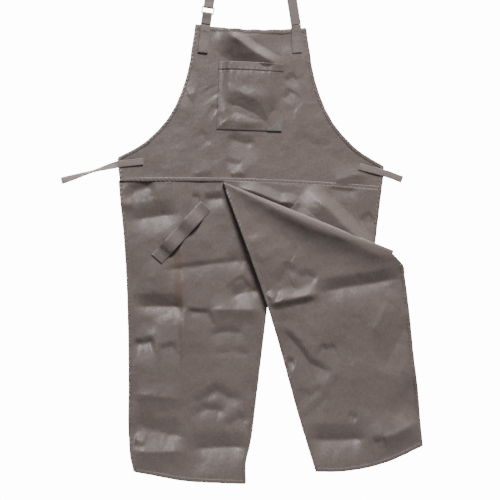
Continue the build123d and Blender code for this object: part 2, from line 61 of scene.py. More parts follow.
# Lengths in this script are millimetres until they are placed. A point of the apron is
# (x, z, front): x to the right, z above the swing line at the bib's top, front towards the viewer.
MM = 0.001
joints = {joint["name"]: joint for joint in frame["joints"]}
SWING_Z = joints["bib_swing"]["pos_m"][2]

# Sizes shared with the frame
STRAP_WIDTH = 25.0
HALF_SPREAD = 113.0
NECK_RADIUS = 80.8
LOOP_RISE = 197.0
TWIST = 70.0
LEAN = math.asin(joints["slider_travel"]["axis"][0])
RISER = LOOP_RISE * math.cos(LEAN) + HALF_SPREAD * math.sin(LEAN)
WEB = 1.5
HANG_SLOPE = 0.033
HALF_WAIST = 326.0
SEAM_Z = -394.0
SEAM_SAG = 9.0                        # how much lower its ends lie than its middle
CLOTH = 1.0
TIE_WIDTH = 17.0
TIE_RISE = 44.3                       # above the waist seam's ends
LOOP_LENGTH, LOOP_WIDTH = 182.0, 35.0
UPPER_BAR, LOWER_BAR = 44.9, 29.1     # the ring's bars, along the strap
BEND = 2.6                            # webbing round a bar
BEND_RUN = 16.0                       # where two plies open to pass a bar
PLY_APART = 2.0                       # between the middles of two plies
TAIL_HEIGHT = 136.0                   # the neck strap's free end
END_FADE = 0.28                       # share of a crease that dies away at each end
PIVOT = (-72.0, -392.0)               # the right leg's inner corner, where its fold lines start
FOLD_FROM, FOLD_LENGTH, PLEAT_LENGTH = 4.0, 458.0, 420.0
FOLD_ANGLE = math.radians(21.9)
PLEAT_ANGLE = math.radians(5.3)


def world(x, z, front):
    """A point of the apron in metres, in the frame's own axes."""
    return Vector((x * MM, -front * MM, SWING_Z + z * MM))


# ---------- curves and wrinkles

def smooth_curve(points, at):
    """Values of a smooth curve through (parameter, value) points, at an array of parameters."""
    keys = np.array([p[0] for p in points], float)
    values = np.array([p[1] for p in points], float)
    slopes = np.gradient(values, keys)
    i = np.clip(np.searchsorted(keys, at, side="right") - 1, 0, len(keys) - 2)
    span = keys[i + 1] - keys[i]
    t = np.clip((at - keys[i]) / span, 0, 1)
    h1 = 2 * t**3 - 3 * t**2 + 1
    h2 = t**3 - 2 * t**2 + t
    h3 = -2 * t**3 + 3 * t**2
    h4 = t**3 - t**2
    return h1 * values[i] + h2 * span * slopes[i] + h3 * values[i + 1] + h4 * span * slopes[i + 1]


def ease(t):
    """0 below 0, 1 above 1, and smooth between."""
    t = np.clip(t, 0, 1)
    return t * t * (3 - 2 * t)


def crease(x, z, line, height, above, below, soften=1.5, fade=END_FADE, gentle=5.0):
    """A crease along a line of points: how far the cloth stands forward at x, z.
    above and below are the widths of its two flanks, and fade is the share of each end that dies away."""
    best = np.full(x.shape, 1e9)
    side = np.zeros(x.shape)
    along = np.zeros(x.shape)
    lengths = [math.dist(a, b) for a, b in zip(line, line[1:])]
    total = sum(lengths)
    passed = 0.0
    for (ax, az), (bx, bz), length in zip(line, line[1:], lengths):
        dx, dz = (bx - ax) / length, (bz - az) / length
        t = np.clip((x - ax) * dx + (z - az) * dz, 0, length)
        px, pz = x - ax - t * dx, z - az - t * dz
        distance = np.hypot(px, pz)
        nearer = distance < best
        best = np.where(nearer, distance, best)
        side = np.where(nearer, px * -dz + pz * dx, side)
        along = np.where(nearer, (passed + t) / total, along)
        passed += length
    # a line drawn from right to left has its sides the other way round
    if line[-1][0] < line[0][0]:
        side = -side
    # the flank that turns towards the light is the gentler one
    if height < 0:
        below = below * gentle
    elif above < below:
        above = above * gentle
    width = np.where(side > 0, above, below)
    reach = (np.sqrt(best**2 + soften**2) - soften) / (1.7 * width)
    lit = (side > 0) == (height > 0)      # its slope is steepest beside the crease
    shape = np.clip(1 - reach, 0, 1) ** np.where(lit & (gentle > 1), 2.0, 1.3)
    ends = ease(along / fade) * ease((1 - along) / fade)
    return 1.5 * height * shape * ends


def swell(x, z, cx, cz, rx, rz, height, turn=0.0):
    """A soft round swelling, or a dent where height is negative."""
    c, s = math.cos(math.radians(turn)), math.sin(math.radians(turn))
    a = ((x - cx) * c + (z - cz) * s) / rx
    b = (-(x - cx) * s + (z - cz) * c) / rz
    return height * np.exp(-(a * a + b * b))


def folds(x, z, out, *rows):
    """Adds folds to out: a row that starts with a line is a crease, and one that starts with a number a swelling."""
    for row in rows:
        out = out + (crease if isinstance(row[0], list) else swell)(x, z, *row)
    return out


def crumple(x, z, seed, broad=1.0, fine=1.0):
    """Shallow facets and soft unevenness of cloth that was folded for storage."""
    out = np.zeros(x.shape)
    for i, (px, pz) in enumerate(zip(x.ravel(), z.ravel())):
        p = Vector((px * 0.011, seed, pz * 0.011))
        facets, _ = noise.voronoi(Vector((px * 0.019, seed + 3.0, pz * 0.015)))
        out.ravel()[i] = (
            broad * 2.2 * noise.noise(p)
            + broad * 0.9 * (facets[1] - facets[0])
            + fine * 0.55 * noise.noise(p * 3.7)
            + fine * 0.22 * noise.noise(p * 9.0)
        )
    return out


# ---------- mesh helpers

def finish_mesh(bm, name, material):
    """Makes the object of a finished mesh, smooth shaded, at the origin."""
    mesh = bpy.data.meshes.new(name)
    bm.to_mesh(mesh)
    bm.free()
    for face in mesh.polygons:
        face.use_smooth = True
    piece = bpy.data.objects.new(name, mesh)
    bpy.context.scene.collection.objects.link(piece)
    mesh.materials.append(material)
    return piece


def cloth_grid(columns, rows, place):
    """A sheet of cloth: place turns arrays of u (left to right) and t (top to bottom) into x, z and front."""
    bm = bmesh.new()
    bm.loops.layers.uv.new("UVMap")
    bmesh.ops.create_grid(bm, x_segments=columns, y_segments=rows, size=0.5, calc_uvs=True)
    u = np.array([v.co.x + 0.5 for v in bm.verts])
    t = np.array([0.5 - v.co.y for v in bm.verts])
    x, z, front = place(u, t)
    for v, px, pz, pf in zip(bm.verts, x, z, front):
        v.co = world(px, pz, pf)
    bmesh.ops.remove_doubles(bm, verts=bm.verts, dist=0.00002)
    bmesh.ops.recalc_face_normals(bm, faces=bm.faces)
    flat = bpy.data.meshes.new("flat_cloth")
    bm.to_mesh(flat)
    bm.free()
    holder = bpy.data.objects.new("flat_cloth", flat)
    bpy.context.scene.collection.objects.link(holder)
    ply = holder.modifiers.new("ply", "SOLIDIFY")
    ply.thickness = CLOTH * MM
    ply.offset = 0
    ply.use_even_offset = False
    thick = bpy.data.meshes.new_from_object(holder.evaluated_get(bpy.context.evaluated_depsgraph_get()))
    bpy.data.objects.remove(holder)
    bm = bmesh.new()
    bm.from_mesh(thick)
    for mesh in (flat, thick):
        bpy.data.meshes.remove(mesh)
    bmesh.ops.recalc_face_normals(bm, faces=bm.faces)
    return bm


def strip(path, across, width, thickness, sides=10, wobble=0.0, rope=0.0):
    """A flat strip along a path of points in metres, with its width along the across vectors."""
    count = len(path)
    bm = bmesh.new()
    uv = bm.loops.layers.uv.new("UVMap")
    bmesh.ops.create_grid(bm, x_segments=sides, y_segments=count - 1, size=0.5, calc_uvs=True)
    lengths = [0.0]
    for a, b in zip(path, path[1:]):
        lengths.append(lengths[-1] + (b - a).length)
    for v in bm.verts:
        i = min(count - 1, int(round((v.co.y + 0.5) * (count - 1))))
        turn = (v.co.x + 0.5) * 2 * math.pi
        before, after = path[max(0, i - 1)], path[min(count - 1, i + 1)]
        tangent = (after - before).normalized()
        wide = across[i] - tangent * across[i].dot(tangent)
        wide.normalize()
        normal = tangent.cross(wide)
        c, s = math.cos(turn), math.sin(turn)
        flat_c = math.copysign(abs(c) ** 0.45, c)
        flat_s = math.copysign(abs(s) ** 0.8, s)
        length = lengths[i] / MM
        slack = 0.75 + 0.7 * noise.noise(Vector((length * 0.03, width, 9.0)))
        rise = rope * slack * math.sin(length * 0.58 + c * 3.0 + 2.5 * slack) * abs(s)
        edge = wobble * noise.noise(Vector((length * 0.05, c, 4.0)))
        v.co = (
            path[i]
            + wide * ((flat_c * width / 2 + edge) * MM)
            + normal * ((flat_s * thickness / 2 + (rise if s > 0 else -rise)) * MM)
        )
    for face in bm.faces:
        for loop in face.loops:
            loop[uv].uv = (loop[uv].uv.x, loop[uv].uv.y * lengths[-1])
    bmesh.ops.remove_doubles(bm, verts=bm.verts, dist=0.00001)
    bmesh.ops.holes_fill(bm, edges=[e for e in bm.edges if e.is_boundary], sides=0)
    bmesh.ops.recalc_face_normals(bm, faces=bm.faces)
    return bm


def join(main, *others):
    """Adds other meshes to the first one."""
    for other in others:
        mesh = bpy.data.meshes.new("part")
        other.to_mesh(mesh)
        other.free()
        main.from_mesh(mesh)
        bpy.data.meshes.remove(mesh)
    return main


def stitch_row(bm, points, spacing=3.4, length=2.3, radius=0.34):
    """Single stitches of thread along points in metres, each a small half-sunk bead."""
    passed = 0.0
    due = spacing / 2
    for a, b in zip(points, points[1:]):
        run = (b - a).length / MM
        while due <= passed + run and run > 0:
            spot = a.lerp(b, (due - passed) / run)
            direction = (b - a).normalized()
            made = bmesh.ops.create_icosphere(bm, subdivisions=1, radius=radius * MM)
            stretch = length / (2 * radius)
            for v in made["verts"]:
                v.co = spot + v.co + direction * (v.co.dot(direction) * (stretch - 1))
            due += spacing
        passed += run
    return bm


# ---------- materials

def put(made, inputs):
    """Gives a shader node its input values."""
    for key, value in inputs.items():
        made.inputs[key].default_value = value
    return made


def node(tree, kind, inputs=None, **values):
    """A new shader node with its settings and input values."""
    made = tree.nodes.new(kind)
    for key, value in values.items():
        setattr(made, key, value)
    return put(made, inputs or {})


def weave_group():
    """Fine diagonal weave and slubs, as a height and as a small change of colour."""
    group = bpy.data.node_groups.new("weave", "ShaderNodeTree")
    face = group.interface
    face.new_socket("Coordinates", in_out="INPUT", socket_type="NodeSocketVector")
    face.new_socket("Threads", in_out="INPUT", socket_type="NodeSocketFloat")
    face.new_socket("Height", in_out="OUTPUT", socket_type="NodeSocketFloat")
    face.new_socket("Fade", in_out="OUTPUT", socket_type="NodeSocketFloat")
    start = node(group, "NodeGroupInput")
    end = node(group, "NodeGroupOutput")
    link = group.links.new
    scale = node(group, "ShaderNodeVectorMath", operation="SCALE")
    link(start.outputs["Coordinates"], scale.inputs[0])
    link(start.outputs["Threads"], scale.inputs["Scale"])
    twill = node(group, "ShaderNodeTexWave", {"Scale": 0.32, "Distortion": 0.6, "Detail": 1.0},
                 wave_type="BANDS", bands_direction="DIAGONAL")
    link(scale.outputs[0], twill.inputs["Vector"])
    slubs = node(group, "ShaderNodeTexNoise", {"Scale": 0.22, "Detail": 5.0, "Roughness": 0.7})
    link(scale.outputs[0], slubs.inputs["Vector"])
    add = node(group, "ShaderNodeMath", operation="ADD")
    link(twill.outputs["Fac"], add.inputs[0])
    link(slubs.outputs["Fac"], add.inputs[1])
    link(add.outputs[0], end.inputs["Height"])
    link(slubs.outputs["Fac"], end.inputs["Fade"])
    return group


WEAVE = weave_group()


def cloth_material(name, dark, light, roughness, sheen, threads=1000.0, relief=0.0003, crease_shade=None):
    """Woven cloth: two close colours, a diagonal weave, soft patches and a sheen, and, where a shade colour is given, a
    brownish painted shade mixed in by a mesh attribute that marks a crease's shaded flank.
    """
    material = bpy.data.materials.new(name)
    material.use_nodes = True
    tree = material.node_tree
    shader = tree.nodes["Principled BSDF"]
    link = tree.links.new
    place = node(tree, "ShaderNodeTexCoord")
    weave = node(tree, "ShaderNodeGroup", node_tree=WEAVE)
    put(weave, {"Threads": threads})
    link(place.outputs["Object"], weave.inputs["Coordinates"])
    patches = node(tree, "ShaderNodeTexNoise", {"Scale": 9.0, "Detail": 4.0})
    link(place.outputs["Object"], patches.inputs["Vector"])
    blend = node(tree, "ShaderNodeMath", {1: 1.6, 2: -0.55}, operation="MULTIPLY_ADD")
    link(weave.outputs["Fade"], blend.inputs[0])
    both = node(tree, "ShaderNodeMath", {1: 0.55}, operation="MULTIPLY_ADD")
    link(patches.outputs["Fac"], both.inputs[0])
    link(blend.outputs[0], both.inputs[2])
    colour = node(tree, "ShaderNodeMix", {"A": (*dark, 1), "B": (*light, 1)}, data_type="RGBA")
    link(both.outputs[0], colour.inputs["Factor"])
    # painted shade: the given brownish colour is mixed in where the mesh attribute marks the shaded flank of a crease
    if crease_shade:
        where = node(tree, "ShaderNodeAttribute", attribute_name="crease_shade")
        shade_mixed = node(tree, "ShaderNodeMix", {"B": (*crease_shade, 1)}, data_type="RGBA")
        link(where.outputs["Fac"], shade_mixed.inputs["Factor"])
        link(colour.outputs["Result"], shade_mixed.inputs["A"])
        link(shade_mixed.outputs["Result"], shader.inputs["Base Color"])
    else:
        link(colour.outputs["Result"], shader.inputs["Base Color"])
    put(shader, {"Roughness": roughness, "Specular IOR Level": 0.5, "Sheen Weight": sheen, "Sheen Roughness": 0.45})
    bump = node(tree, "ShaderNodeBump", {"Strength": 0.9, "Distance": relief})
    link(weave.outputs["Height"], bump.inputs["Height"])
    link(bump.outputs["Normal"], shader.inputs["Normal"])
    return material


def moulded_material(name, colour):
    """Glossy moulded plastic with faint flow marks."""
    material = bpy.data.materials.new(name)
    material.use_nodes = True
    tree = material.node_tree
    shader = tree.nodes["Principled BSDF"]
    place = node(tree, "ShaderNodeTexCoord")
    marks = node(tree, "ShaderNodeTexNoise", {"Scale": 160.0})
    tree.links.new(place.outputs["Object"], marks.inputs["Vector"])
    ramp = node(tree, "ShaderNodeMapRange", {"To Min": 0.22, "To Max": 0.36})
    tree.links.new(marks.outputs["Fac"], ramp.inputs["Value"])
    tree.links.new(ramp.outputs["Result"], shader.inputs["Roughness"])
    put(shader, {"Base Color": (*colour, 1)})
    return material


# the third colour is painted shade: a brownish tint along the left flank of the left leg's pressed crease
DARK_SATIN, LIGHT_SATIN, CREASE_SHADE_BROWN = (0.15, 0.117, 0.106), (0.24, 0.19, 0.173), (0.17, 0.105, 0.075)
SATIN = cloth_material("satin_twill", DARK_SATIN, LIGHT_SATIN, 0.35, 0.1)
SATIN_CREASE_SHADED = cloth_material("satin_twill_crease_shaded", DARK_SATIN, LIGHT_SATIN, 0.35, 0.1, crease_shade=CREASE_SHADE_BROWN)
WEBBING = cloth_material("neck_webbing", (0.18, 0.142, 0.13), (0.25, 0.2, 0.183), 0.6, 0.2, 900.0)
TAPE = cloth_material("tie_tape", (0.235, 0.185, 0.165), (0.31, 0.25, 0.225), 0.58, 0.2, 900.0, 0.0002)
PATCH = cloth_material("patch_cloth", (0.165, 0.165, 0.145), (0.215, 0.215, 0.19), 0.6, 0.15)
THREAD = cloth_material("sewing_thread", (0.1, 0.078, 0.07), (0.15, 0.118, 0.106), 0.5, 0.2, 3000.0, 0.0001)
MOULDED = moulded_material("white_moulding", (0.83, 0.83, 0.81))


# ---------- shapes of the cloth

def hang(x, z):
    """The right side of the apron hangs a little lower."""
    return z - HANG_SLOPE * x


def seam(x):
    """Height of the waist seam at x."""
    return SEAM_Z - SEAM_SAG * (x / HALF_WAIST) ** 2 - HANG_SLOPE * x


# the bib's half width at each drop below its top
BIB_HALF = [(3.5, 137.5), (35, 142), (65, 147), (95, 151), (125, 157.5), (156, 166.5), (186, 177.5), (217, 192),
            (247, 211), (278, 238), (309.5, 273.5), (320, 290), (328, 304.5), (337, 321), (342.5, 330.5),
            (350, 331), (403, 326)]


def bib_front(x, z):
    """How far the bib's middle plane stands forward: its folds and dents."""
    out = folds(
        x, z, -1.6,
        ([(-82, -2), (-50, -22), (8, -66), (84, -110)], 9.6, 11, 32, 3.0, END_FADE, 1.0),
        (-30, -92, 50, 22, -3.0, -8),
        (78, -36, 24, 30, -2.4, 30),
        (-20, -30, 60, 14, 1.5),
        ([(84, -146), (100, -134), (116, -128)], -1.6, 8, 6, 3.0),
        ([(82, -190), (96, -174), (106, -160)], -1.7, 8, 6, 3.0),
        ([(80, -222), (100, -212), (118, -216)], -0.9, 9, 7, 3.0),
        ([(-100, -204), (-82, -215)], -1.1, 8, 6),
        ([(-104, -150), (-84, -182)], -1.0, 10, 8),
        ([(-60, -277), (-40, -290), (-10, -297), (14, -290)], -2.6, 12, 8, 3.0, END_FADE, 4.0),
        ([(-160, -176), (-146, -171), (-134, -173)], 1.6, 5, 14),
        (-168, -200, 22, 34, 1.4, 60),
        ([(-130, -262), (-100, -300)], -0.9, 8, 8),
        ([(108, -270), (160, -300), (210, -300)], -0.8, 10, 10),
        ([(-70, -340), (-20, -352)], -1.2, 7, 5),
        ([(-150, -372), (-90, -362)], 1.4, 6, 10),
        ([(-54, -378), (-30, -366), (-8, -376)], 1.8, 5, 8),
        ([(200, -392), (262, -374), (300, -378)], 2.0, 8, 14),
        (250, -350, 60, 22, -1.6, -20),
    )
    out += crumple(x, z, 1.0, 0.7, 0.8)
    return out


def left_leg_front(x, z):
    """The left leg's folds and creases."""
    pressed = 1.7 * np.exp(-np.abs(x + 168 - (z + 760) * -0.014) / 26.0) * ease((-z - 400) / 60)
    out = folds(
        x, z, -2.6 + pressed,
        ([(-318, -444), (-290, -414), (-236, -399)], -3.4, 12, 8, 2.5),
        ([(-322, -492), (-220, -476), (-170, -469)], -5.2, 24, 7, 1.5, 0.35),
        ([(-325, -452), (-290, -440)], 2.2, 8, 12),
        ([(-122, -437), (-90, -434), (-60, -432)], -3.0, 10, 5, 2.0),
        ([(-150, -432), (-126, -428)], -1.6, 6, 5),
        ([(-235, -617), (-168, -606), (-94, -597), (10, -586)], -1.8, 7, 5, 1.0),
        ([(-60, -602), (-30, -578), (0, -596)], -1.6, 12, 7),
        ([(-62, -684), (0, -665), (30, -658)], -3.4, 16, 5, 1.2),
        ([(-30, -624), (-2, -664)], -2.0, 6, 12),
        ([(-303, -706), (-250, -704), (-200, -704), (-150, -708)], -5.6, 20, 6, 1.2),
        (-262, -688, 40, 16, -1.8),
        ([(-165, -716), (-112, -720), (-98, -712)], -3.0, 6, 10),
        ([(-110, -712), (-20, -712), (40, -714)], 3.6, 7, 22, 1.2),
        (-262, -748, 26, 18, -2.6),
        (-280, -560, 30, 40, 1.8),
        ([(-300, -798), (-270, -797), (-238, -788)], -3.4, 9, 6, 1.2),
        ([(-234, -812), (-184, -800)], -1.8, 7, 5),
        ([(-112, -780), (-66, -767), (-10, -770)], -2.4, 10, 8),
        ([(-100, -826), (-40, -816), (0, -830)], -1.4, 12, 10),
        ([(-300, -922), (-234, -928), (-160, -936)], 2.6, 7, 24, 1.2),
        ([(-158, -948), (-122, -938), (-87, -914), (-57, -932), (-10, -938)], -3.0, 12, 9, 1.5),
        ([(-154, -982), (-116, -962), (-78, -965), (-56, -972)], -3.0, 12, 8, 1.5),
        ([(-300, -972), (-264, -1012), (-190, -1026), (-150, -1020)], -4.0, 24, 12, 4.0),
        ([(-70, -1010), (-30, -984), (0, -990)], -2.6, 12, 9, 2.0),
        (-100, -1020, 40, 24, -2.0, 20),
        ([(-170, -1064), (-101, -1057), (-40, -1055), (5, -1058)], -6.0, 24, 8, 1.2),
        ([(-305, -1066), (-234, -1068), (-150, -1064)], 5.0, 8, 30, 1.2),
        ([(-292, -1034), (-262, -1044)], 2.0, 5, 8),
        (-140, -1100, 26, 22, -2.4),
    )
    flat = 1 - 0.65 * ease((x + 60) / 90) * ease((-700 - z) / -120)
    return -2.6 + (out + 2.6) * flat + crumple(x, z, 5.0)


def right_leg_front(x, z):
    """The right leg's outer cloth, below its visible fold."""
    out = folds(
        x, z, 0.0,
        ([(30, -700), (60, -694), (123, -680), (180, -668)], 5.6, 18, 9, 1.5),
        ([(150, -674), (231, -657), (310, -645), (392, -628)], -5.2, 18, 7, 1.5),
        ([(40, -672), (60, -688)], 2.4, 4, 6),
        ([(72, -664), (84, -690)], 1.8, 4, 6),
        ([(66, -664), (90, -606), (120, -626)], -1.8, 9, 8),
        ([(112, -632), (140, -624), (170, -640)], -2.0, 9, 7),
        ([(0, -520), (18, -570), (40, -600)], 1.6, 10, 14),
    )
    press = 228 + (-z - 660) * 0.155
    out = folds(
        x, z, out + 2.2 * np.exp(-np.abs(x - press) / 24.0) * ease((-z - 640) / 50),
        ([(66, -752), (110, -796), (146, -845), (210, -876)], -3.8, 9, 16, 2.0),
        ([(170, -800), (190, -812), (214, -800)], -2.2, 8, 7),
        ([(86, -840), (112, -846)], -2.6, 8, 5),
        ([(104, -916), (150, -926), (182, -900)], -1.8, 10, 9),
        ([(120, -1000), (190, -930), (226, -868)], -1.4, 10, 10),
        ([(398, -728), (362, -800), (324, -872)], -2.6, 26, 10, 2.0),
        ([(345, -690), (300, -780)], 1.8, 18, 18, 4.0),
        ([(240, -975), (268, -984)], -1.8, 8, 5),
        ([(420, -880), (396, -930), (350, -1000)], -2.4, 26, 20, 6.0),
        ([(130, -1034), (180, -1038), (240, -1037), (300, -1032)], -6.4, 25, 8, 1.4),
        ([(292, -1042), (360, -1022), (400, -1000), (430, -986)], 6.0, 9, 26, 2.0),
        ([(300, -1044), (340, -1034)], -2.6, 9, 5),
        (90, -740, 26, 16, -1.5),
        (330, -940, 40, 40, 1.6),
    )
    return out + crumple(x, z, 9.0)


def leg_outer(t):
    """Left leg's outer edge: x at each drop below the waist seam."""
    return smooth_curve([(0, -329), (40, -326), (119, -318), (220, -311), (345, -306.5), (500, -304.5),
                         (643, -304), (690, -300), (722, -293), (760, -290)], t)


def left_leg(u, t):
    """Place of the left leg's cloth."""
    top = -388.6 - 7.0 * ease((u - 0.6) / 0.14) - 2.0 * ease((u - 0.74) / 0.26)
    hem_z = -1115 - 31.5 * np.sin(np.clip(u, 0, 1) * math.pi / 2) ** 0.72 + 2.0 * np.sin(u * math.pi * 3) * (1 - u)
    z = top + (hem_z - top) * t
    left = leg_outer(-391.5 - z)
    right = 77.0 - 90.0 * t - 6.5 * np.exp(-((t - 0.93) / 0.05) ** 2)
    x = left + (right - left) * u
    return x, z, left_leg_front(x, z)


def fold_point(reach, below, drop=0.0):
    """A point at a reach from the right leg's inner corner along a fold line, and a drop square to it."""
    c, s = np.cos(below), np.sin(below)
    return PIVOT[0] + reach * c - drop * s, PIVOT[1] - reach * s - drop * c


def upper_front(x, z):
    """The right leg's upper cloth, between the waist seam and the pleat."""
    ridge = [(-40, -404), (4, -414), (40, -428), (73, -442), (104, -444), (130, -466)]
    out = folds(
        x, z, 0.0,
        (ridge, 4.4, 13, 9, 2.5, END_FADE, 1.0),
        ([(130, -404), (196, -464), (262, -530), (330, -590)], 9.0, 17, 46, 3.0, END_FADE, 1.0),
        ([(272, -496), (306, -474)], -2.2, 9, 7),
        ([(188, -408), (272, -416)], -1.8, 6, 8),
        (240, -440, 40, 18, 1.2, -10),
        (205, -500, 150, 50, 3.0, -24),
    )
    return np.clip(out + crumple(x, z, 3.0, 0.4, 0.8), -1.8, 17.0)


OUTER_EDGE = [(0, 366, -580), (0.03, 380, -597), (0.09, 384, -628), (0.31, 396, -727), (0.53, 406, -827),
              (0.75, 417, -917), (0.9, 424, -1004), (1, 429, -1051)]
INNER_EDGE = [(0, -72, -393), (0.23, -16, -538), (0.43, 39, -692), (0.86, 131, -1012), (1, 163, -1115)]
RIGHT_HEM = [(0, 163, -1115), (0.2, 214, -1115.5), (0.66, 338, -1092), (1, 429, -1051)]
ROWS_A, ROWS_PLEAT, ROWS_B, ROWS_ROLL, ROWS_C = 44, 6, 8, 14, 150
ROWS = ROWS_A + ROWS_PLEAT + ROWS_B + ROWS_ROLL + ROWS_C


def curve_xz(points, at):
    """x and z along an edge given by (share, x, z) points."""
    return (smooth_curve([(p[0], p[1]) for p in points], at), smooth_curve([(p[0], p[2]) for p in points], at))


def roll_radius(u):
    """Radius of the right leg's visible fold, from its inner to its outer end."""
    return smooth_curve([(0, 0.8), (0.2, 5.0), (0.5, 9.0), (0.8, 8.0), (1, 4.4)], u)


def roll_height(u):
    """How far the fold's inner side rises behind its crest."""
    return 1.7 * roll_radius(u)


def outer_cloth(u, s):
    """Place of the right leg's outer cloth below its fold: u from the inner to the outer edge, s downwards."""
    px, pz = fold_point(FOLD_FROM + FOLD_LENGTH * u, FOLD_ANGLE, roll_height(u))
    hx, hz = curve_xz(RIGHT_HEM, u)
    ix, iz = curve_xz(INNER_EDGE, s)
    ox, oz = curve_xz(OUTER_EDGE, s)
    p0x, p0z = fold_point(FOLD_FROM, FOLD_ANGLE, roll_height(np.zeros(1))[0])
    p1x, p1z = fold_point(FOLD_FROM + FOLD_LENGTH, FOLD_ANGLE, roll_height(np.ones(1))[0])
    start = (1 - s) ** 8
    ix, iz = ix + (p0x - INNER_EDGE[0][1]) * start, iz + (p0z - INNER_EDGE[0][2]) * start
    ox, oz = ox + (p1x - OUTER_EDGE[0][1]) * (1 - s) ** 30, oz + (p1z - OUTER_EDGE[0][2]) * (1 - s) ** 30
    ends_x = (1 - u) * (p0x * (1 - s) + INNER_EDGE[-1][1] * s) + u * (p1x * (1 - s) + OUTER_EDGE[-1][1] * s)
    ends_z = (1 - u) * (p0z * (1 - s) + INNER_EDGE[-1][2] * s) + u * (p1z * (1 - s) + OUTER_EDGE[-1][2] * s)
    x = px * (1 - s) + hx * s + (1 - u) * ix + u * ox - ends_x
    z = pz * (1 - s) + hz * s + (1 - u) * iz + u * oz - ends_z
    return x, z


def outer_front(x, z, u, s):
    """How far the outer cloth stands forward: full at the roll, and settling below it."""
    radius = roll_radius(u)
    crest = 3.4 + 2 * radius
    below = s * np.clip(500 + 60 * (1 - u), 1, None)
    lifted = np.exp(-((s - 0.26) / 0.2) ** 2) * (1 - u) ** 2
    rest = 5.6 + 4.5 * lifted
    fall = np.exp(-(below / (22 + 14 * np.sin(math.pi * u))) ** 1.7)
    wrinkles = right_leg_front(x, z) * ease(below / 16)
    return rest + (crest - rest) * fall + wrinkles


def right_leg(u, t):
    """Place of the right leg's cloth: down from the waist seam, folded into its pleat, and down to the hem."""
    row = t * ROWS
    seam_x = -68 + 394 * u
    seam_z = seam(seam_x) + 3.0
    low_x, low_z = fold_point(FOLD_FROM + PLEAT_LENGTH * u, FOLD_ANGLE + PLEAT_ANGLE)
    radius = roll_radius(u)
    a = np.clip(row / ROWS_A, 0, 1)
    x, z = seam_x + (low_x - seam_x) * a, seam_z + (low_z - seam_z) * a
    settled = ease((1 - a) * 6)
    front = upper_front(x, z) * settled * ease(a * 12)
    # the hidden fold at the bottom of the pleat
    p = np.clip((row - ROWS_A) / ROWS_PLEAT, 0, 1)
    turn = p * math.pi
    here = row > ROWS_A
    x = np.where(here, low_x - np.sin(turn) * 0.6, x)
    z = np.where(here, low_z - np.sin(turn) * 1.7, z)
    front = np.where(here, 1.7 - 1.7 * np.cos(turn), front)
    # back up to the visible fold
    b = np.clip((row - ROWS_A - ROWS_PLEAT) / ROWS_B, 0, 1)
    height = roll_height(u)
    top_x, top_z = fold_point(FOLD_FROM + FOLD_LENGTH * u, FOLD_ANGLE, height)
    here = row > ROWS_A + ROWS_PLEAT
    x = np.where(here, low_x + (top_x - low_x) * b, x)
    z = np.where(here, low_z + (top_z - low_z) * b, z)
    front = np.where(here, 3.4, front)
    # over the fold
    r = np.clip((row - ROWS_A - ROWS_PLEAT - ROWS_B) / ROWS_ROLL, 0, 1)
    turn = r * math.pi
    here = row > ROWS_A + ROWS_PLEAT + ROWS_B
    roll_x, roll_z = fold_point(FOLD_FROM + FOLD_LENGTH * u, FOLD_ANGLE, height - height * np.sin(turn))
    x = np.where(here, roll_x, x)
    z = np.where(here, roll_z, z)
    front = np.where(here, 3.4 + radius - radius * np.cos(turn), front)
    # the outer cloth
    s = np.clip((row - ROWS_A - ROWS_PLEAT - ROWS_B - ROWS_ROLL) / ROWS_C, 0, 1)
    here = row > ROWS - ROWS_C
    out_x, out_z = outer_cloth(u, s)
    x = np.where(here, out_x, x)
    z = np.where(here, out_z, z)
    front = np.where(here, outer_front(out_x, out_z, u, s), front)
    return x, z, front


def bib(u, t):
    """Place of the bib's cloth."""
    s = 2 * u - 1
    top = -12 + 8.5 * s**2 + 0.7 * np.sin(s * 19) * (1 - s**2)
    drop = -(top + (SEAM_Z + 1 - SEAM_SAG * s**2 - top) * t)
    x = s * smooth_curve(BIB_HALF, drop)
    z = hang(x, -drop)
    return x, z, bib_front(x, z)


POCKET_TURN = math.radians(-1.9)
POCKET_X, POCKET_Z = -1.0, -178.5
POCKET_WIDTH, POCKET_HEIGHT = 163.0, 170.0
POCKET_HEM = 64.5                     # its line of stitches above the pocket's centre


def pocket_point(a, b):
    """A point of the pocket: a to the right and b up from its centre."""
    c, s = math.cos(POCKET_TURN), math.sin(POCKET_TURN)
    return POCKET_X + a * c - b * s, POCKET_Z + a * s + b * c


def pocket_front(a, b):
    """The pocket's bulge and creases, over the bib."""
    x, z = pocket_point(a, b)
    edge = np.minimum(np.minimum(POCKET_WIDTH / 2 - a, a + POCKET_WIDTH / 2), b + POCKET_HEIGHT / 2)
    free = ease(edge / 34)
    deepest = [(-90, -176), (-25, -214), (48, -246), (62, -208), (74, -170)]
    out = folds(
        x, z, 8.0,
        (deepest, -6.2, 22, 6, 2.0, END_FADE, 8.0),
        (10, -176, 34, 14, 2.4, -10),
        (20, -130, 54, 22, 1.2),
        (-48, -140, 26, 34, -1.2, 40),
        ([(-84, -246), (-50, -225), (-30, -214)], -1.2, 10, 14, 2.0),
        ([(-40, -262), (20, -243), (60, -236)], 1.4, 8, 16, 2.5),
        ([(0, -260), (50, -254)], -1.0, 9, 9, 2.0),
    )
    out += crumple(x, z, 7.0, 0.5, 0.9)
    base = bib_front(x, z) + 1.25
    hem = ease((b - 64) / 1.6)
    out = base + (np.maximum(out, base) - base) * free
    pucker = 0.3 * np.sin(a * 0.42 + 0.8 * np.sin(a * 0.11)) * np.exp(-((b - 66) / 7) ** 2)
    return out + 0.9 * hem + pucker - 0.6 * np.exp(-((b - POCKET_HEM) / 1.4) ** 2)


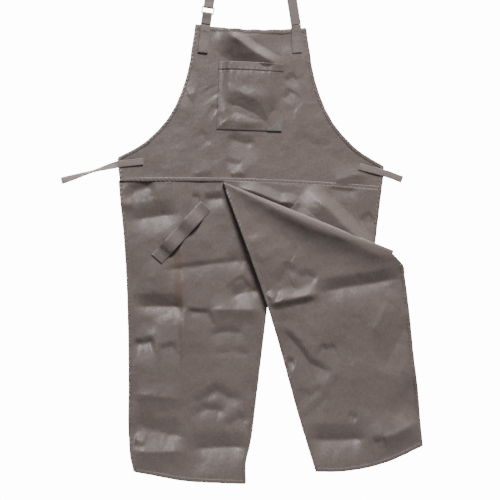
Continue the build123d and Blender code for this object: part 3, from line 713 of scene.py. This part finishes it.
def pocket(u, t):
    """Place of the pocket's cloth."""
    a, b = (u - 0.5) * POCKET_WIDTH, (0.5 - t) * POCKET_HEIGHT
    x, z = pocket_point(a, b + 1.2 * np.sin(u * 5) * (1 - t))
    return x, z, pocket_front(a, b)


def patch(u, t):
    """Place of the patch on the pocket's lower right corner."""
    a, b = POCKET_WIDTH / 2 - 36 * t * (1 - u), -52 - 33 * t
    x, z = pocket_point(a, b)
    return x, z, pocket_front(a, b) + 1.1


# ---------- hems and sewn lines

def panel_edge(place, u, t, inward, inset):
    """Points at an inset from one edge of a panel, and the direction into the panel."""
    x, z, _ = place(u, t)
    dx, dz = np.gradient(x), np.gradient(z)
    size = np.hypot(dx, dz)
    nx, nz = -dz / size * inward, dx / size * inward
    return x + nx * inset, z + nz * inset, nx, nz


def hem(place, front, u, t, inward, width=9.0, thickness=2.4, rope=0.8):
    """A folded edge and its line of stitches."""
    x, z, nx, nz = panel_edge(place, u, t, inward, width / 2 - 1.4)
    depth = np.maximum(front(x, z), np.maximum(front(x + nx * 3, z + nz * 3), front(x - nx * 2, z - nz * 2)) - 0.5)
    path = [world(a, b, c) for a, b, c in zip(x, z, depth)]
    across = [Vector((a, 0, b)) for a, b in zip(nx, nz)]
    fold = strip(path, across, width, thickness, 12, 0.5, rope)
    line = [world(a + n * 2.6, b + m * 2.6, c + thickness / 2 - 0.1) for a, b, c, n, m in zip(x, z, depth, nx, nz)]
    return fold, stitch_row(bmesh.new(), line)


def sewn_line(points, front, rise):
    """A line of stitches through (x, z) points on a cloth."""
    x, z = [], []
    for (ax, az), (bx, bz) in zip(points, points[1:]):
        steps = max(2, int(math.dist((ax, az), (bx, bz)) / 4))
        for i in range(steps):
            x.append(ax + (bx - ax) * i / steps)
            z.append(az + (bz - az) * i / steps)
    x.append(points[-1][0])
    z.append(points[-1][1])
    x, z = np.array(x), np.array(z)
    return stitch_row(bmesh.new(), [world(a, b, c) for a, b, c in zip(x, z, front(x, z) + rise)])


def bend_at_seam(piece):
    """Leaves cloth and thread sewn into the waist seam where they were made, with their placement baked into the mesh;
    nothing bends them between the bib and the leg.
    """
    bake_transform(piece)


def place_piece(bm, name, material, body, *nodes, slot=None, bends=False):
    """Makes a piece that rides on a body, or stays fixed with its placement baked in, and stands for the frame's nodes.
    """
    piece = finish_mesh(bm, name, material)
    if bends:
        bend_at_seam(piece)
    else:
        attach(piece, body)
    if nodes:
        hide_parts(*nodes)
    return piece


# ---------- bib

line = np.linspace(0, 1, 181)
zero, one = np.zeros_like(line), np.ones_like(line)
left_hem, left_sewn = hem(bib, bib_front, zero, line, 1, 9.0)
right_hem, right_sewn = hem(bib, bib_front, one, line, -1, 9.0)
top_hem, top_sewn = hem(bib, bib_front, line, zero, -1, 12.0, 2.2, 0.2)
panel = join(cloth_grid(150, 165, bib), left_hem, right_hem, top_hem)
bib_piece = place_piece(panel, "bib", SATIN, "bib", "bib_panel", slot="twill")
place_piece(join(left_sewn, right_sewn, top_sewn), "bib_hem_stitches", THREAD, "bib", slot="thread")

pocket_piece = place_piece(cloth_grid(120, 124, pocket), "pocket", SATIN, "bib", "chest_pocket", slot="twill")
patch_piece = place_piece(cloth_grid(24, 24, patch), "corner_patch", PATCH, "bib", "pocket_corner_patch", slot="patch")


def on_pocket(x, z):
    """The pocket's depth at x, z."""
    c, s = math.cos(POCKET_TURN), math.sin(POCKET_TURN)
    dx, dz = x - POCKET_X, z - POCKET_Z
    return pocket_front(dx * c + dz * s, -dx * s + dz * c)


def pocket_line(*points, rise=0.75):
    """A line of stitches through points of the pocket."""
    return sewn_line([pocket_point(a, b) for a, b in points], on_pocket, rise)


sewn = join(
    pocket_line((-78, 84), (-78, -81.5), (46, -81.5)),
    pocket_line((78, -50), (78, 84)),
    pocket_line((-80, POCKET_HEM), (80, POCKET_HEM), rise=0.9),
    pocket_line((71, -52), (71, 20)),
    pocket_line((-74, 84), (-74, 72)),
    pocket_line((74, 84), (74, 72)),
)
place_piece(sewn, "pocket_stitches", THREAD, "bib", "pocket_stitching", slot="thread")
sewn = pocket_line((52, -82), (78.5, -82), (78.5, -58), (52, -82), rise=1.75)
place_piece(sewn, "patch_stitches", THREAD, "bib", "patch_stitching", slot="thread")


# ---------- waist band

band_x = np.linspace(-HALF_WAIST - 2, HALF_WAIST + 1, 400)
band_z = seam(band_x) + 5.2
band = strip([world(a, b, -1.6) for a, b in zip(band_x, band_z)], [Vector((0, 0, 1))] * len(band_x), 11.2, 3.2,
             16, 0.8, 0.5)
place_piece(band, "waist_band", SATIN, "bib", "waist_seam_band", slot="twill")
band_sewn = stitch_row(bmesh.new(), [world(a, seam(a) + 2.2, 0.65) for a in band_x])
place_piece(band_sewn, "waist_stitches", THREAD, "bib", "waist_seam_stitching", slot="thread")


# ---------- legs

left_outer, left_outer_sewn = hem(left_leg, left_leg_front, zero, line, 1)
left_inner, left_inner_sewn = hem(left_leg, left_leg_front, one, line, -1)
left_low, left_low_sewn = hem(left_leg, left_leg_front, line, one, 1, 10.0, 2.4, 0.4)
panel = join(cloth_grid(120, 200, left_leg), left_outer, left_inner, left_low)
left_piece = place_piece(panel, "left_leg_cloth", SATIN_CREASE_SHADED, "left_leg", "left_leg_panel", slot="twill", bends=True)
# painted shade: a narrow brownish strip along the left flank of the pressed crease, wider towards the waist
crease_shade = left_piece.data.attributes.new("crease_shade", "FLOAT", "POINT")
for vertex in left_piece.data.vertices:
    x, z = vertex.co.x / MM, (vertex.co.z - SWING_Z) / MM
    wide = 2.5 + 5.5 * float(ease((z + 840) / 180))
    centre = -172 - wide - 1.0 + (z + 700) * -0.02
    inside = float(ease((wide + 2 - abs(x - centre)) / 3)) * float(ease((z + 880) / 60)) * float(ease((-470 - z) / 90))
    crease_shade.data[vertex.index].value = 0.55 * inside
place_piece(join(left_outer_sewn, left_inner_sewn, left_low_sewn), "left_hem_stitches", THREAD, "left_leg",
            slot="thread", bends=True)


def outer_place(u, t):
    """Place of the outer cloth, with its depth."""
    x, z = outer_cloth(u, t)
    return x, z, outer_front(x, z, u, t)


def edge_front(u, t):
    """The outer cloth's depth along one of its edges, whatever the inset."""
    x, z, front = outer_place(u, t)
    return lambda a, b: front


start_line = 0.035 + 0.965 * line
right_outer, right_outer_sewn = hem(outer_place, edge_front(one, start_line), one, start_line, -1)
low_line = 0.03 + 0.97 * line
right_inner, right_inner_sewn = hem(outer_place, edge_front(zero, low_line), zero, low_line, 1)
right_low, right_low_sewn = hem(outer_place, edge_front(line, one), line, one, 1, 10.0, 2.4, 0.4)


def upper_side(u, t):
    """Place of the upper cloth's outer edge."""
    return right_leg(one, t * ROWS_A / ROWS)


side_hem, side_sewn = hem(upper_side, lambda a, b: np.zeros(a.shape), one, line, -1)
panel = join(cloth_grid(150, ROWS, right_leg), right_outer, right_inner, right_low, side_hem)
right_piece = place_piece(panel, "right_leg_cloth", SATIN, "right_leg", "right_leg_panel", slot="twill", bends=True)
place_piece(join(right_outer_sewn, right_inner_sewn, right_low_sewn, side_sewn), "right_hem_stitches", THREAD,
            "right_leg", slot="thread", bends=True)


# ---------- diagonal loops

def diagonal_loop(start, angle, front, raised, length=LOOP_LENGTH):
    """A cloth strip from its upper end, standing off the leg by what raised gives along it."""
    c, s = math.cos(math.radians(angle)), math.sin(math.radians(angle))
    path = []
    for d in np.linspace(0.0, length, 90):
        x, z = start[0] + c * d, start[1] + s * d
        near = [front(np.array([x - s * w]), np.array([z + c * w]))[0] for w in (-16, -8, 0, 8, 16)]
        path.append(world(x, z, max(near) + 1.0 + raised(d)))
    return strip(path, [Vector((-s, 0, c))] * len(path), LOOP_WIDTH, 1.5, 20, 0.7, 0.05)


def loop_lines(start, angle, front, spots, rise=1.95):
    """Lines of stitches across a loop, at spots along it."""
    c, s = math.cos(math.radians(angle)), math.sin(math.radians(angle))
    rows = []
    for d in spots:
        points = [(start[0] + c * d - s * w, start[1] + s * d + c * w) for w in (-15, 15)]
        near = [front(np.array([start[0] + c * d - s * w]), np.array([start[1] + s * d + c * w]))[0]
                for w in (-16, -8, 0, 8, 16)]
        high = max(near)
        rows.append(sewn_line(points, lambda a, b: np.full(a.shape, high), rise))
    return join(*rows)


LEFT_LOOP, RIGHT_LOOP = (-112.5, -452.0), (106.0, -453.5)


def left_raise(d):
    """How far the left loop stands off the leg between its sewn ends, touching again halfway."""
    free = max(0.0, min(1.0, (d - 14) / 26, (168 - d) / 26))
    free = free * free * (3 - 2 * free)
    return free * (4.2 + 3.4 * math.cos((d - 91) / 77 * 2 * math.pi + math.pi))


loop = diagonal_loop(LEFT_LOOP, 227.5, left_leg_front, left_raise)
place_piece(loop, "left_tool_loop", SATIN, "left_leg", "left_leg_loop", slot="twill")
sewn = loop_lines(LEFT_LOOP, 227.5, left_leg_front, (4, 10, 172, 178))
place_piece(sewn, "left_loop_stitches", THREAD, "left_leg", "left_loop_stitching", slot="thread")

loop = diagonal_loop(RIGHT_LOOP, 317.0, upper_front, lambda d: 0.0, 122.0)
place_piece(loop, "right_tool_loop", SATIN, "right_leg", "right_leg_loop", slot="twill")
sewn = loop_lines(RIGHT_LOOP, 317.0, upper_front, (4, 10))
place_piece(sewn, "right_loop_stitches", THREAD, "right_leg", "right_loop_stitching", slot="thread")


# ---------- neck strap

def strap_point(side, height, front=0.0, lean=LEAN):
    """A point along a strap at a height above the swing line, and the strap's width direction."""
    s, c = math.sin(lean), math.cos(lean)
    x = side * (HALF_SPREAD - s * height)
    return world(x, c * height, front), Vector((c, 0, side * s))


def strap_run(side, heights, front, lean=LEAN):
    """Points and width directions along a strap at a list of heights."""
    made = [strap_point(side, h, front(h) if callable(front) else front, lean) for h in heights]
    return [p for p, _ in made], [w for _, w in made]


def round_bar(bar, away):
    """Heights and depths of webbing turning round a bar: away is 1 where it comes from above, -1 from below."""
    steps = np.linspace(0.06, 1, 10)
    middle = PLY_APART / 2
    made = [(bar + away * BEND_RUN * (1 - k), (middle - BEND) * ease(k)) for k in steps]
    made += [(bar - away * BEND * math.sin(a), middle - BEND * math.cos(a)) for a in np.linspace(0, math.pi, 15)[1:]]
    made += [(bar + away * BEND_RUN * k, middle + BEND + (middle - BEND) * ease(k)) for k in steps]
    return made


def neck_path():
    """The long strap: up the right side, over the neck, down the left, round the ring and up to its free end."""
    path, across = strap_run(1, np.linspace(0.2, RISER - TWIST, 60), 0.0)

    def quarter(side, turns):
        for turn in turns:
            p, w = strap_point(side, RISER - TWIST * (1 - turn))
            a = turn * math.pi / 2
            path.append(p)
            across.append(w * math.cos(a) + Vector((0, -1, 0)) * math.sin(a) * side)

    quarter(1, np.linspace(0.04, 0.98, 24))
    centre = Vector((0, 0, LOOP_RISE * MM + SWING_Z))
    for a in np.linspace(LEAN, math.pi - LEAN, 70):
        path.append(centre + Vector((math.cos(a), 0, math.sin(a))) * (NECK_RADIUS * MM))
        across.append(Vector((0, -1, 0)))
    for turn in np.linspace(0.98, 0.04, 24):
        p, w = strap_point(-1, RISER - TWIST * (1 - turn))
        a = turn * math.pi / 2
        path.append(p)
        across.append(w * -math.cos(a) + Vector((0, -1, 0)) * math.sin(a))
    left = [(h, 0.0) for h in np.linspace(RISER - TWIST, UPPER_BAR + BEND_RUN, 40)]
    left += round_bar(UPPER_BAR, 1)
    left += [(h, PLY_APART) for h in np.linspace(UPPER_BAR + BEND_RUN + 2, TAIL_HEIGHT, 24)]
    for h, front in left:
        p, w = strap_point(-1, h, front)
        path.append(p)
        across.append(-w)
    return path, across


path, across = neck_path()
place_piece(strip(path, across, STRAP_WIDTH, WEB, 14, 0.25), "neck_webbing", WEBBING, "neck", "neck_strap",
            slot="webbing")

loop = [(h, 0.0) for h in np.linspace(0.2, LOWER_BAR - BEND_RUN, 8)]
loop += round_bar(LOWER_BAR, -1)
loop += [(h, PLY_APART) for h in np.linspace(LOWER_BAR - BEND_RUN - 2, 2.6, 8)]
made = [strap_point(-1, h, f) for h, f in loop]
place_piece(strip([p for p, _ in made], [w for _, w in made], STRAP_WIDTH, WEB, 14, 0.2), "ring_webbing", WEBBING,
            "neck", "ring_loop", slot="webbing")


def strap_end(side, lean, depths, name, node_name):
    """The sewn end of a strap on the bib's front, following its top hem."""
    parts = []
    for depth in depths:
        path, across = strap_run(side, np.linspace(0.9, -70, 36), depth, math.radians(lean))
        parts.append(strip(path, across, STRAP_WIDTH, 1.1, 14, 0.3))
    place_piece(join(*parts), name, WEBBING, "bib", node_name, slot="webbing")


def tab_depth(side, lean, ply):
    """Depth of one ply of a strap's end at each height, over the bib's top hem."""
    def depth(h):
        s, c = math.sin(math.radians(lean)), math.cos(math.radians(lean))
        x, z = side * (HALF_SPREAD - s * h), c * h
        near = [bib_front(np.array([x + w]), np.array([z]))[0] for w in (-12, -6, 0, 6, 12)]
        lift = max(near) + (1.8 if h > -14 else 1.8 - 0.7 * float(ease((-14 - h) / 5)))
        start = float(ease(-h / 7))
        return (lift * start if h < 0 else 0.0) + ply
    return depth


LEFT_LEAN, RIGHT_LEAN = 6.0, 2.5
left_under, left_over = tab_depth(-1, LEFT_LEAN, 0.0), tab_depth(-1, LEFT_LEAN, 1.15)
right_over = tab_depth(1, RIGHT_LEAN, 0.0)
strap_end(-1, LEFT_LEAN, (left_under, left_over), "left_strap_end", "left_strap_tab")
strap_end(1, RIGHT_LEAN, (right_over,), "right_strap_end", "right_strap_tab")


def box_lines(side, lean, depth):
    """A stitched box on a strap end, with a small crossed box at its top."""
    rows = []
    for start, end in (((-9.6, -6), (-9.6, -66)), ((9.6, -6), (9.6, -66)), ((-9.6, -66), (9.6, -66)),
                       ((-9.6, -6), (9.6, -6)), ((-9.6, -6), (9.6, -24)), ((9.6, -6), (-9.6, -24)),
                       ((-9.6, -24), (9.6, -24))):
        points = []
        for k in np.linspace(0, 1, 18):
            w, h = start[0] + (end[0] - start[0]) * k, start[1] + (end[1] - start[1]) * k
            p, across = strap_point(side, h, depth(h) + 0.65, math.radians(lean))
            points.append(p + across * (w * MM))
        rows.append(stitch_row(bmesh.new(), points))
    return join(*rows)


tabs = join(box_lines(-1, LEFT_LEAN, left_over), box_lines(1, RIGHT_LEAN, right_over))
place_piece(tabs, "strap_end_stitches", THREAD, "bib", "strap_tab_stitching", slot="thread")


# ---------- waist ties

def tie_start(side):
    """Where a tie leaves the bib's side edge."""
    x = side * (HALF_WAIST + 5)
    return x, SEAM_Z - SEAM_SAG - HANG_SLOPE * x + TIE_RISE


def tie_end(side, slope, name, node_name):
    """The sewn end of a tie on the bib's front."""
    c, s = math.cos(math.radians(slope)), math.sin(math.radians(slope))
    ex, ez = tie_start(side)
    path, heights = [], []
    for d in np.linspace(62, -3, 34):
        x, z = ex - side * c * d, ez + s * d
        near = [bib_front(np.array([x]), np.array([z + w]))[0] for w in (-9, -4, 0, 4, 9)]
        heights.append(max(near) + 1.7)
        path.append(world(x, z, heights[-1]))
    made = strip(path, [Vector((s * side, 0, c))] * len(path), TIE_WIDTH, 1.3, 14, 0.3, 0.04)
    place_piece(made, name, TAPE, "bib", node_name, slot="tape")


def tie_lines(side, slope):
    """A stitched box on a tie's sewn end."""
    c, s = math.cos(math.radians(slope)), math.sin(math.radians(slope))
    ex, ez = tie_start(side)

    def spot(d, w):
        return ex - side * c * d + s * side * w, ez + s * d + c * w

    rows = []
    for a, b in (((58, -7), (58, 7)), ((58, 7), (14, 7)), ((58, -7), (14, -7)), ((14, -7), (14, 7))):
        (ax, az), (bx, bz) = spot(*a), spot(*b)
        rows.append(sewn_line([(ax, az), (bx, bz)],
                              lambda p, q: np.max([bib_front(p, q + w) for w in (-8, 0, 8)], axis=0), 2.45))
    return join(*rows)


LEFT_SLOPE, RIGHT_SLOPE = 6.0, 14.5
tie_end(-1, LEFT_SLOPE, "left_tie_end", "left_tie_tab")
tie_end(1, RIGHT_SLOPE, "right_tie_end", "right_tie_tab")
sewn = join(tie_lines(-1, LEFT_SLOPE), tie_lines(1, RIGHT_SLOPE))
place_piece(sewn, "tie_end_stitches", THREAD, "bib", "tie_tab_stitching", slot="thread")


def free_tie(side, reach, slope, pinch, name, node_name):
    """The free part of a tie: out to its fold, and back again behind itself, pinched part of the way along."""
    a = math.radians(slope)
    c, s = math.cos(a), math.sin(a)
    ex, ez = tie_start(side)
    length = (reach - 4) / c
    out = []
    for k in np.linspace(0, 1, 70):
        d = 2.4 + (length + 0.1) * k
        x, z = ex + side * c * d, ez - s * d + 1.4 * math.sin(k * 3.0) * (1 - k)
        near, far = (max(k, 1e-3) / 0.43) ** 0.7, (max(1 - k, 1e-3) / 0.57) ** 0.7
        turn = pinch * (near**-8 + far**-8) ** -0.125
        flat = Vector((side * s, 0, c))
        wide = flat * math.cos(turn) + Vector((0, 1, 0)) * math.sin(turn)
        along = Vector((side * c, 0, -s))
        off = along.cross(wide) * (0.75 * MM)
        out.append((world(x, z, 0.4), wide, off))
    front = [p + o for p, _, o in out]
    wides = [w for _, w, _ in out]
    behind = [p - o for p, _, o in reversed(out)]
    tip_p, tip_w, tip_o = out[-1]
    along = Vector((side * c, 0, -s))
    bend = [tip_p + tip_o * math.cos(b) + along * (0.75 * MM * math.sin(b)) for b in np.linspace(0, math.pi, 9)[1:-1]]
    path = front + bend + behind
    made = strip(path, wides + [tip_w] * len(bend) + wides[::-1], TIE_WIDTH, 1.15, 14, 0.35, 0.05)
    place_piece(made, name, TAPE, name, node_name, slot="tape")


free_tie(-1, 143.0, 16.4, 1.3, "left_tie", "left_waist_tie")
free_tie(1, 48.0, 19.5, 0.0, "right_tie", "right_waist_tie")


def tie_roll(side, name, node_name):
    """The spare length of a tie, rolled up behind the bib."""
    ex, ez = tie_start(side)
    cx, cz = ex - side * 34, ez
    path = []
    turns = 5.5
    for k in np.linspace(0, 1, 260):
        radius = 3.0 + 10.3 * k
        a = k * turns * 2 * math.pi + math.pi / 2
        path.append(world(cx + side * radius * math.sin(a), cz, -17.4 + radius * math.cos(a)))
    made = strip(path, [Vector((0, 0, 1))] * len(path), TIE_WIDTH, 1.2, 12, 0.3)
    place_piece(made, name, TAPE, "bib", node_name, slot="tape")


tie_roll(-1, "left_rolled_tie", "left_tie_roll")
tie_roll(1, "right_rolled_tie", "right_tie_roll")


# ---------- ring and slider

for node_name in ("strap_ring", "strap_slider"):
    piece = frame["nodes"][node_name]
    piece.data.materials.clear()
    piece.data.materials.append(MOULDED)


# ---------- floor, lights and camera

LOWEST, FLOOR_GAP = -1.421, 0.23      # metres: the hem's lowest point, and the air below it
bm = bmesh.new()
bmesh.ops.create_circle(bm, cap_ends=True, segments=96, radius=0.6)
for v in bm.verts:
    v.co.z = LOWEST - FLOOR_GAP
pale = bpy.data.materials.new("pale_floor")
pale.use_nodes = True
put(pale.node_tree.nodes["Principled BSDF"], {"Base Color": (0.4, 0.4, 0.4, 1), "Roughness": 0.8})
floor = finish_mesh(bm, "floor", pale)


def area_light(name, place, target, size, power):
    """A soft rectangular lamp that faces a target."""
    lamp = bpy.data.lights.new(name, "AREA")
    lamp.shape = "RECTANGLE"
    lamp.size, lamp.size_y = size
    lamp.energy = power
    holder = bpy.data.objects.new(name, lamp)
    holder.location = place
    holder.rotation_euler = (Vector(target) - Vector(place)).to_track_quat("-Z", "Y").to_euler()
    bpy.context.scene.collection.objects.link(holder)


KEY_POWER, FILL_POWER, BACK_POWER = 600, 3, 140
WALL_BRIGHT, ROOM_LIGHT = 14.0, 0.085
middle = (0, 0, SWING_Z - 0.55)
area_light("key", (1.0, -2.6, 4.3), middle, (1.9, 1.3), KEY_POWER)
area_light("fill", (0.4, -3.0, 0.2), middle, (1.5, 1.5), FILL_POWER)
area_light("back", (-0.8, 3.2, 1.4), middle, (2.2, 1.6), BACK_POWER)

world_settings = bpy.data.worlds.new("white")
world_settings.use_nodes = True
background = world_settings.node_tree.nodes["Background"]
put(background, {"Color": (1, 1, 1, 1)})
# the wall of the studio is white to the camera, and lights the apron softly
seen = node(world_settings.node_tree, "ShaderNodeLightPath")
bright = node(world_settings.node_tree, "ShaderNodeMath", {1: WALL_BRIGHT, 2: ROOM_LIGHT}, operation="MULTIPLY_ADD")
world_settings.node_tree.links.new(seen.outputs["Is Camera Ray"], bright.inputs[0])
world_settings.node_tree.links.new(bright.outputs[0], background.inputs["Strength"])
bpy.context.scene.world = world_settings

CAMERA_AWAY = 6.0
lens = bpy.data.cameras.new("camera")
lens.sensor_width = 36
lens.lens = 172.8
camera = bpy.data.objects.new("camera", lens)
camera.location = (-0.002, -CAMERA_AWAY, SWING_Z - 0.5625)
camera.rotation_euler = (math.pi / 2, 0, 0)
bpy.context.scene.collection.objects.link(camera)
bpy.context.scene.camera = camera
